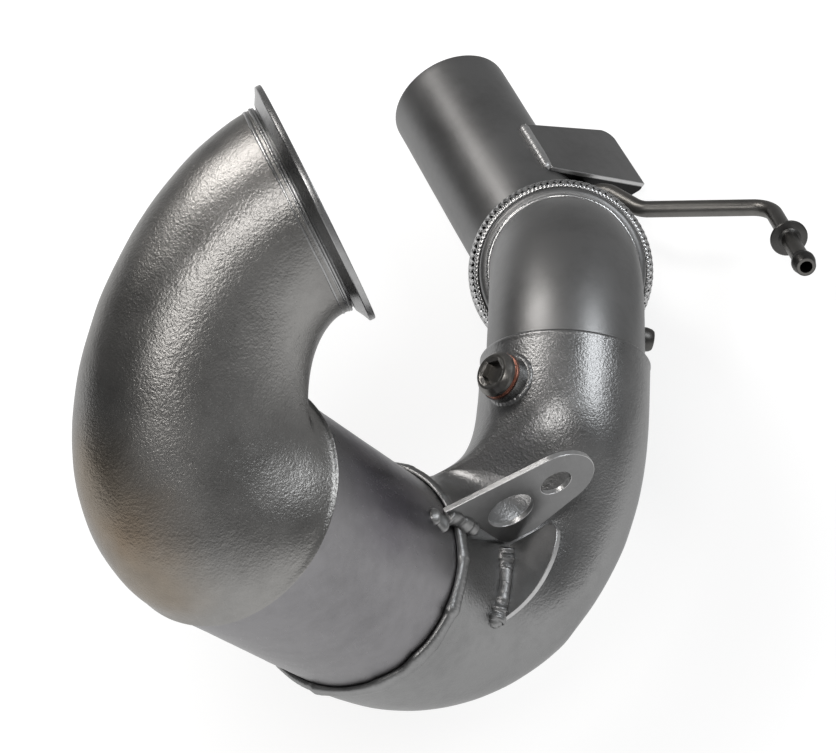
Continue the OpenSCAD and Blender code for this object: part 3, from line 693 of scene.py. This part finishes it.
# ---------- sensor boss ----------
# the weld's radius, the boss's and washer's height over the socket, and half the hexagon's width
BOSS_FOOT, BOSS_TOP, PLUG_SEAT, HEX = 13.6, 6, 8.2, 6.3
a, b = frame_on(boss_dir, sock_dir)
foot = []
for phi in angles(160):
    x, y = BOSS_FOOT * np.cos(phi), BOSS_FOOT * np.sin(phi)
    foot.append(boss_base + x * a + y * b + (math.sqrt(SOCKET_R ** 2 - y * y) + 0.3) * boss_dir)
foot = np.array(foot)
for i, q in enumerate(foot):
    near = socket_skin[np.argsort(((socket_skin - q) ** 2).sum(1))[:4]].mean(0)
    foot[i] = q + ((near - q) @ boss_dir) * boss_dir
out = foot - boss_base - ((foot - boss_base) @ boss_dir)[:, None] * boss_dir
out = unit_rows(unit_rows(out) * 0.8 + boss_dir)
bead("bead_boss", foot, out, 4.2, 1.6, True, look="matte_weld", replaces=["boss_weld"], pitch=2.6, ripple=0.22,
     seed=31, wander=0.25, swell=0.12)
b0 = boss_base + SOCKET_R * boss_dir
lathe("plug_washer", b0 + BOSS_TOP * boss_dir, boss_dir,
      [(9.5, 0), (12.2, 0), (12.55, 0.15), (12.65, 0.45), (12.5, 0.8), (12.05, 1.0), (11.9, 1.1), (12.05, 1.2),
       (12.5, 1.4), (12.65, 1.75), (12.55, 2.05), (12.2, 2.2), (9.5, 2.2)],
      "copper", "inlet_side", n=128, replaces=["crush_washer"])
rings = [circle(b0 + (PLUG_SEAT + z) * boss_dir, boss_dir, r, 96, sock_dir)[0]
         for r, z in ((9.0, -12.5), (9.0, 0.0), (12.2, 0.0), (12.5, 0.3), (12.5, 2.4), (12.2, 2.75), (10.6, 5.0),
                      (10.2, 5.3), (9.9, 5.5), (8.7, 5.5), (8.4, 5.35))]
hexagon = HEX / np.cos((angles(96) + math.pi / 6) % (math.pi / 3) - math.pi / 6)
rings += [b0 + (PLUG_SEAT + z) * boss_dir + (hexagon * grow)[:, None] * spokes(angles(96), a, b)
          for grow, z in ((1.2, 5.3), (1.0, 4.5), (1.0, 0.5))]
make("plug_body", *closed_sweep(np.array(rings)), "dark", "inlet_side", 25, ["boss_plug"])

# ---------- rear boss and small dark tab, both standing in the upper elbow's wall ----------
ROOT, TAB_TURN = 43.2, 0.29    # distance from the tube's middle line, and angle along the bend
lathe("rear_boss_ring", sock_end + 14 * sock_dir, rear_dir,
      [(4.5, ROOT), (4.5, 52.9), (5.0, 53.45), (7.9, 53.45), (8.5, 52.8), (8.5, ROOT)], "flange", "inlet_side",
      n=96, replaces=["rear_boss"])
tab_at = arc(upper_start, sock_dir, upper_side, UPPER_BEND, TAB_TURN, 2)[1]
tab_axis = math.cos(TAB_TURN) * sock_dir + math.sin(TAB_TURN) * upper_side
edge_dir = side(CAM_RIGHT + 0.25 * CAM_FORWARD, tab_axis)
lathe("rear_tab", tab_at, edge_dir,
      [(3.2, ROOT), (3.2, 46.0), (3.9, 49.6), (4.4, 50.4), (5.6, 50.4), (6.4, 49.2), (7.0, 46.5), (7.0, ROOT)],
      "sensor", "inlet_side", n=64)
# a near-black disc put in the tab's hole as painted shade
lathe("rear_tab_shade_disc", tab_at, edge_dir, [(0.2, 43.8), (3.4, 43.8), (3.4, 45.2), (0.2, 45.2)], "hollow_shade",
      "inlet_side", n=48)

# ---------- hanger plate, gusset and their welds ----------
TIP_R = 22.3
a = np.radians(np.linspace(-66, 90, 60))
tip = np.stack([TIP_R * np.cos(a), TIP_R * np.sin(a)], 1)
foot = np.array([(-57.5, TIP_R), (-46.6, -2.0), (-38.5, -25.9), (-34.5, -32.0), (-19.6, -32.0)])
outline = np.concatenate([tip, foot])
plate("cut_hanger_plate", [hole[0], plate_y + PLATE, hole[2]], X, Z, -Y, outline, PLATE, "plate", "inlet_side",
      holes=[round_hole(0.5, 0, 8.5), round_hole(-26.5, -4.5, 12.5, 80)], bevel=0.35, replaces=["hanger_plate"])

DEEPEST, GUSSET_O = -14.0, 16    # the gusset's lowest height tried, and its outline's origin along the foot


def above_cone(p):
    """Distance of a point from the cone's skin (mm), outwards, in the plane of the section it lies in."""
    off = ((p - cone_mid) * cone_n).sum(1)
    d = np.linalg.norm(p - cone_mid - off[:, None] * cone_n, axis=1) - cone_r
    return d[np.argmin(np.abs(off) + np.where(d < 40, 0, 1000))]


def cone_height(s, n):
    """How far along gusset_m the cone's skin lies, s along the gusset's foot and n off its middle plane."""
    for y in np.arange(12, DEEPEST, -0.25):
        if above_cone(gusset_p + s * gusset_s + y * gusset_m + n * gusset_n) < 0:
            return y
    return DEEPEST


lower = [(s - GUSSET_O, max(cone_height(s, 0) - 1.8, -6.0)) for s in np.linspace(1, 42.5, 24)]
rim = np.array([(42.6, 2.5), (41.6, 6.0), (36.9, 14.5), (30.8, 22), (24, 27.9), (16.2, 32.2), (7, 35.4), (-3.0, 35.9),
                (-7.0, 34.2), (-10.7, 29.0)])
k = np.linspace(0, len(rim) - 1, 60)
rim = np.stack([np.convolve(np.pad(np.interp(k, range(len(rim)), rim[:, i]), 3, mode="edge"), np.ones(7) / 7, "valid")
                for i in (0, 1)], 1)
outline = lower + [(x - GUSSET_O, y) for x, y in rim]
# the gusset uses the lighter look, painted light on its face
plate("cut_gusset", gusset_p + GUSSET_O * gusset_s - PLATE / 2 * gusset_n, gusset_s, gusset_m, gusset_n, outline, PLATE,
      "gusset", "inlet_side", bevel=0.3, replaces=["hanger_gusset"])
for near, name, length, seed in ((1, "bead_gusset_near", 46.5, 41), (-1, "bead_gusset_far", 37, 43)):
    p = np.array([gusset_p + s * gusset_s + (cone_height(s, 4 * near) + 0.5) * gusset_m
                  + (3.4 + 0.02 * s) * near * gusset_n for s in np.linspace(2, length, 110)])
    up = np.tile(unit(0.8 * gusset_m + 0.6 * near * gusset_n), (len(p), 1))
    bead(name, p, up, 7.4, 3.4, look="matte_weld", pitch=9.0, ripple=0.0, seed=seed, wander=0.9, swell=0.2, sink=3.0,
         n=20, replaces=["gusset_weld"] if near < 0 else [],
         blobs=[(2.0, 3.0, 0.6), (8.0, 3.0, 0.55), (13.0, 2.0, 0.2), (31.0, 2.5, 0.2), (37.0, 2.2, 0.45),
                (42.0, 3.0, 0.6)])

# the hanger plate's bead, along the cone and then up the can
q = np.array([(-58.5, 19.3), (-55.5, 14.3), (-52.5, 8.3), (-49.5, 1.3), (-46.5, -5.7)])
t = np.linspace(0, 4, 90)
p = np.stack([hole[0] + np.interp(t, range(5), q[:, 0]), np.full(90, plate_y - 0.2),
              hole[2] + np.interp(t, range(5), q[:, 1])], 1)
up = np.tile(unit(-1.0 * Y - 0.45 * CAM_FORWARD - 0.25 * X), (len(p), 1))
bead("bead_hanger", p, up, 8.4, 4.0, look="matte_weld", pitch=6.5, ripple=0.3, seed=47, wander=0.7, swell=0.2,
     sink=5.0, replaces=["hanger_weld"],
     blobs=[(2.0, 3.5, 0.35), (12.0, 3.0, -0.3), (19.0, 3.5, 0.3), (27.0, 2.5, 0.35)])
outward = side([49, -14, 30], can_dir)
p = can_start + np.linspace(96, 113, 60)[:, None] * can_dir + (CAN_R - 0.1) * outward
bead("bead_hanger_end", p, np.tile(outward, (len(p), 1)), 7.6, 3.4, look="matte_weld", pitch=7.0, ripple=0.2, seed=71,
     wander=1.2, swell=0.25, sink=2.0, n=18, blobs=[(4.0, 3.0, 0.5), (12.0, 3.0, 0.35)])

# ---------- flex coupling ----------
DASHES = 128


def dashes(k, t):
    """The crimp ring's pressed dashes, on the outer points of its profile."""
    if k not in (3, 4, 5, 6):
        return np.zeros(len(t))
    return 0.26 * np.clip(np.cos(DASHES * t) * 2, -1, 1) - 0.05


for end, origin, axis, r, body in (("front", flex_start, flex_dir, TUBE_R, "inlet_side"),
                                   ("rear", flex_end, -flex_dir, OUTLET_R, "outlet_side")):
    lathe(f"{end}_collar_cone", origin, axis,
          [(r - 1.4, 0), (r + 1.5, 0), (r + 2.4, 0.1), (47.8, 0.35), (48.5, 0.65), (49.1, 1.1), (49.6, 1.8),
           (50.0, 2.8), (50.2, 4.2), (50.2, 18), (48.6, 18), (48.6, 9.6), (r - 1.4, 2)], "tube", body, n=220, sharp=40,
          replaces=[f"{end}_collar"])
    lathe(f"{end}_crimp_band", origin, axis,
          [(50.25, 9.4), (50.4, 8.5), (50.9, 8.0), (51.6, 7.9), (52.5, 8.1), (53.2, 8.7), (53.4, 10.2), (52.7, 11.6),
           (52.8, 15.6), (53.1, 16.3), (52.8, 16.9), (51.9, 17)],
          "braid", body, n=1024, sharp=50, gain=dashes, replaces=[f"{end}_crimp"])
    p, d = circle(origin - 0.7 * axis, axis, r + 0.35, 420)
    bead(f"bead_{end}_collar", p, d, 2.6, 1.5, True, look="bright", body=body, pitch=2.4, ripple=0.3,
         seed=51 + len(end), wander=0.25, swell=0.3, replaces=[f"{end}_collar_weld"])


BRAID_LO, BRAID_HI = 9.5, flex_len - 9.5    # stations of the braid's ends
CARRIERS, PITCH = 84, math.tan(math.radians(42)) / 55.0    # strands each way, and their turn per mm


def braid_radius(z):
    e = flex_len - 18
    return np.interp(z, [BRAID_LO, 18, 22, e - 4, e, BRAID_HI], [51.05, 51.05, 55.3, 55.3, 51.05, 51.05])


# the three soft parts of the coupling: from and to, the bodies before and after, and where the blend starts and ends
PARTS = (("front", 0, 34, "inlet_side", "flex_sway", 17, 34),
         ("middle", 34, 48, "flex_sway", "flex_nod", 34, 48),
         ("rear", 48, flex_len, "flex_nod", "outlet_side", 48, 65))
fx, fy = frame_on(flex_dir, X)
ridge = np.linspace(-1, 1, 7)
top_h = 0.32 + 0.14 * np.abs(np.cos(ridge * 1.5 * math.pi))
top_h[[0, -1]] = 0.1
section = np.concatenate([np.stack([ridge * 1.55, top_h], 1), [[1.35, -0.12], [-1.35, -0.12]]])


def strands(name, z0, z1, a, b, s, e, replaces):
    """Flat strands of wire, woven one over one, between two stations of the coupling."""
    verts, faces = [], []
    m, n = int((z1 - z0) / 0.62), len(section)
    zs = np.linspace(z0, z1, m)
    row = zs * 2 * PITCH * CARRIERS / (2 * math.pi)
    pressed = np.interp(zs, [BRAID_LO, 17.5, 19.5, flex_len - 19.5, flex_len - 17.5, BRAID_HI],
                        [0.2, 0.2, 1, 1, 0.2, 0.2])
    for sign in (1, -1):
        lift = sign * 0.34 * np.cos(math.pi * row) * pressed
        r = braid_radius(zs) + 0.3 + lift
        for i in range(CARRIERS):
            f = 2 * math.pi * i / CARRIERS + sign * PITCH * zs
            out, around = spokes(f, fx, fy), spokes(f, fy, -fx)
            c = flex_start + zs[:, None] * flex_dir + r[:, None] * out
            across = np.cross(out, unit_rows(flex_dir + (sign * PITCH * r)[:, None] * around))
            first = len(verts)
            ring = c[:, None, :] + section[None, :, :1] * across[:, None, :] + section[None, :, 1:] * out[:, None, :]
            verts += list(ring.reshape(-1, 3))
            faces += ring_faces(m, n, start=first)
            faces.append(tuple(range(first, first + n))[::-1])
            faces.append(tuple(range(first + (m - 1) * n, first + m * n)))
    o = make(name, verts, faces, "braid", None, 60, replaces)
    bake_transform(o)


for part, z0, z1, *blend in PARTS:
    strands(f"braid_{part}", max(z0, BRAID_LO), min(z1, BRAID_HI), *blend, ["flex_braid"] if part == "front" else [])


def sleeve(name, z0, z1, outside, inside, a, b, s, e, replaces=()):
    """Part of a sleeve under the braid. outside and inside give its radii."""
    z = np.linspace(z0, z1, 56)
    o = lathe(name, flex_start, flex_dir, list(zip(outside(z), z)) + list(zip(inside(z[::-1]), z[::-1])), "can", None,
              n=120, sharp=60, replaces=replaces)
    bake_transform(o)


def bellows_r(z):
    """Eight and a half folds."""
    return 49.2 - 3.6 * np.sin(2 * math.pi * 8.5 * (z - 18.3) / 45.4)


def liner_r(z):
    """Steps of an interlocked strip."""
    return 40.3 - 0.7 * (np.floor((z - 0.3) / 4.07) % 2)


for part, z0, z1, *blend in PARTS:
    sleeve(f"bellows_{part}", max(z0, 18.3), min(z1, 63.7), bellows_r, lambda z: bellows_r(z) - 0.8, *blend,
           ["flex_bellows"] if part == "front" else [])
    sleeve(f"liner_{part}", max(z0, 0.3), min(z1, 81.7), liner_r, lambda z: np.full(len(z), 38.5), *blend,
           ["flex_liner"] if part == "front" else [])

# ---------- plate on the outlet tube ----------
wing_o = np.array([outlet_start[0], wing_y, outlet_start[2]])
corner = [(73 + 9 * math.cos(t), 43 + 9 * math.sin(t)) for t in np.radians(np.linspace(0, 90, 14))]
plate("wing_plate", wing_o + OUTLET_R * wing_n, wing_e, Y, wing_n, [(-1, -3.4), (82, -3.0)] + corner + [(-1, 41)],
      PLATE, "plate", "outlet_side", bevel=0.4, replaces=["tube_bracket"])
# the fold is painted near black as painted shade
plate("wing_fold", wing_o - 0.2 * Y, wing_e, wing_n, -Y,
      rounded([(5, 42.3), (8, 41.0), (14, 39.4), (20, 36.8), (26, 32.8), (34, 31.5), (64, 26), (72, 26), (82, 39),
               (82, 42.3)], 1.5), PLATE, "fold", "outlet_side", bevel=0.4, edge="plate")
p = wing_o + np.linspace(-3, 41, 100)[:, None] * Y - 2.4 * wing_e + 42.4 * wing_n
up = np.tile(unit(wing_n - 0.35 * wing_e), (100, 1))
bead("bead_bracket", p, up, 7.0, 3.5, look="soft_weld", body="outlet_side", pitch=4.5, ripple=0.1, seed=61,
     wander=0.3, swell=0.15, sink=2.0, replaces=["bracket_weld"])

# ---------- pressure tube ----------
HOSE_R, HOSE_IN, HOSE_BEND = 5.5, 4.0, 16
lathe("pressure_socket", tap, X,
      [(HOSE_IN, -1.6), (9, -1.6), (9, 7.2), (8.4, 8), (6.1, 8), (5.6, 7.5), (5.6, 4), (HOSE_IN, 4)],
      "sensor", "outlet_side", n=96, replaces=["pressure_boss"])
path = [turns[0]]
for k in (1, 2, 3):
    d0, d1 = unit(turns[k] - turns[k - 1]), unit(turns[k + 1] - turns[k])
    bend = math.acos(d0 @ d1)
    path += list(arc(turns[k] - HOSE_BEND * math.tan(bend / 2) * d0, d0, side(d1, d0), HOSE_BEND, bend, 14))
path.append(turns[4])
outer, inner = tube_rings(path, HOSE_R, 40), tube_rings(path, HOSE_IN, 40)
make("bent_pressure_tube", *shell(outer, inner), "tube2", "outlet_side", replaces=["pressure_tube"])
lathe("stop_ring", turns[4] - 43 * hose_dir, hose_dir,
      [(HOSE_R, -2.5), (6.6, -2.5), (7.2, -2.2), (10.6, -1.6), (11.6, -1.1), (12, -0.4), (12, 0.6), (11.6, 1.2),
       (10.6, 1.5), (7.4, 1.8), (6.8, 2.4), (HOSE_R, 3)],
      "sensor", "outlet_side", n=96, replaces=["stop_collar"])
lathe("barb_ring", turns[4], hose_dir,
      [(HOSE_R, -12), (6.2, -12), (6.5, -11.4), (7.3, -8.4), (7.5, -7.8), (7.5, -5.8), (7.3, -5.2), (6.3, -0.5),
       (6.0, 0), (HOSE_R, 0)],
      "sensor", "outlet_side", n=80, replaces=["hose_barb"])

# ---------- camera ----------
FOCAL, PHOTO_WIDTH, SENSOR = 2110.8, 836, 36    # pixels, pixels, mm
eye = np.array([-19.13, -662.42, 741.31])
cam = bpy.data.objects.new("photo_camera", bpy.data.cameras.new("photo_camera"))
bpy.context.scene.collection.objects.link(cam)
cam.data.sensor_width = SENSOR
cam.data.lens = FOCAL / PHOTO_WIDTH * SENSOR
cam.data.clip_start, cam.data.clip_end = 0.05, 20
cam.matrix_world = Matrix([(CAM_RIGHT[i], -CAM_DOWN[i], -CAM_FORWARD[i], eye[i] / 1000) for i in range(3)]
                          + [(0, 0, 0, 1)])
bpy.context.scene.camera = cam


# ---------- floor, world and lamps ----------
def seen_rays(t):
    """1 for camera, glossy and transmission rays."""
    path = node(t, "ShaderNodeLightPath")
    m = math_node(t, "MAXIMUM", path.outputs["Is Camera Ray"], path.outputs["Is Glossy Ray"])
    return math_node(t, "MAXIMUM", m, path.outputs["Is Transmission Ray"])


FAR = 40    # half the floor's width, in metres
low = min(cad_low[2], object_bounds()[0][2]) - 0.0005
me = bpy.data.meshes.new("floor")
me.from_pydata([(-FAR, -FAR, low), (FAR, -FAR, low), (FAR, FAR, low), (-FAR, FAR, low)], [], [(0, 1, 2, 3)])
floor = bpy.data.objects.new("floor", me)
bpy.context.scene.collection.objects.link(floor)
m, t, b = tree("floor_white_painted_shade")
me.materials.append(m)
b.inputs["Base Color"].default_value = (0.5, 0.5, 0.5, 1)
b.inputs["Roughness"].default_value = 0.9
glow = node(t, "ShaderNodeEmission")
glow.inputs["Color"].default_value = (1, 1, 1, 1)
place = node(t, "ShaderNodeNewGeometry").outputs["Position"]
# the floor glows white, and a little less under the part as a painted shadow; to glossy rays it is also painted darker
# at the back and right, a painted dark reflection of a dim room
under = map_range(t, vector_node(t, "DISTANCE", place, (0.03, 0.05, low)), 0.12, 0.5, 0.8, 1.0)
painted_dark_reflection = map_range(t, vector_node(t, "DOT_PRODUCT", place, (0.94, 0.34, 0)), 0.25, 0.42, 0.0, 0.75)
glossy = node(t, "ShaderNodeLightPath").outputs["Is Glossy Ray"]
dim = math_node(t, "SUBTRACT", 1.0, math_node(t, "MULTIPLY", painted_dark_reflection, glossy))
t.links.new(math_node(t, "MULTIPLY", under, dim), glow.inputs["Strength"])
grey = node(t, "ShaderNodeBsdfDiffuse")
grey.inputs["Color"].default_value = (0.26, 0.26, 0.26, 1)
both = node(t, "ShaderNodeAddShader")
t.links.new(glow.outputs[0], both.inputs[0])
t.links.new(grey.outputs[0], both.inputs[1])
mix = node(t, "ShaderNodeMixShader")
t.links.new(seen_rays(t), mix.inputs["Fac"])
t.links.new(b.outputs[0], mix.inputs[1])
t.links.new(both.outputs[0], mix.inputs[2])
t.links.new(mix.outputs[0], t.nodes["Material Output"].inputs["Surface"])

world = bpy.data.worlds.new("studio")
bpy.context.scene.world = world
world.use_nodes = True
t = world.node_tree
bg = t.nodes["Background"]
direction = node(t, "ShaderNodeTexCoord").outputs["Generated"]
split = node(t, "ShaderNodeSeparateXYZ")
t.links.new(direction, split.inputs[0])
# a dim room, paler low down in front, and a little paler at the back and right
front = map_range(t, vector_node(t, "DOT_PRODUCT", direction, (-0.36, -0.93, 0.0)), 0.3, 0.95)
height = map_range(t, split.outputs["Z"], 0.75, -0.1)
level = math_node(t, "MULTIPLY_ADD", math_node(t, "MULTIPLY", front, height), 0.75, 0.12)
beyond = vector_node(t, "DOT_PRODUCT", direction, (0.8, 0.6, 0.0))
level = math_node(t, "MULTIPLY_ADD", math_node(t, "MAXIMUM", beyond, 0.0), 0.2, level)
t.links.new(ramp(t, level, [(0.0, (0.0, 0.0, 0.0)), (1.0, (1.0, 1.0, 1.0))]), bg.inputs["Color"])
bg.inputs["Strength"].default_value = 1.0


def aim(azimuth, elevation, distance):
    """Where a lamp stands from its target: degrees, degrees and metres."""
    a, e = math.radians(azimuth), math.radians(elevation)
    return distance * np.array([math.cos(e) * math.cos(a), math.cos(e) * math.sin(a), math.sin(e)])


def lamp(name, offset, size, power, colour, target=(0.0, 0.03, -0.2)):
    """A soft lamp at offset (m) from its target, facing it."""
    l = bpy.data.lights.new(name, "AREA")
    l.shape = "ELLIPSE"
    l.size, l.size_y = size
    l.energy = power
    l.color = colour
    o = bpy.data.objects.new(name, l)
    bpy.context.scene.collection.objects.link(o)
    at = np.array(target) + offset
    o.location = at
    o.rotation_mode = "QUATERNION"
    o.rotation_quaternion = (Vector(target) - Vector(at)).to_track_quat("-Z", "Y")


lamp("key", aim(-100, 69, 1.85), (0.65, 0.55), 8.0, (1.0, 0.98, 0.96))
lamp("right_soft", aim(-13, 38, 1.6), (0.95, 0.55), 8.5, (0.94, 0.97, 1.0))
lamp("back_soft", aim(104, 55, 1.6), (0.5, 0.8), 9.0, (1.0, 0.97, 0.94))

bpy.context.scene.view_settings.view_transform = "Standard"
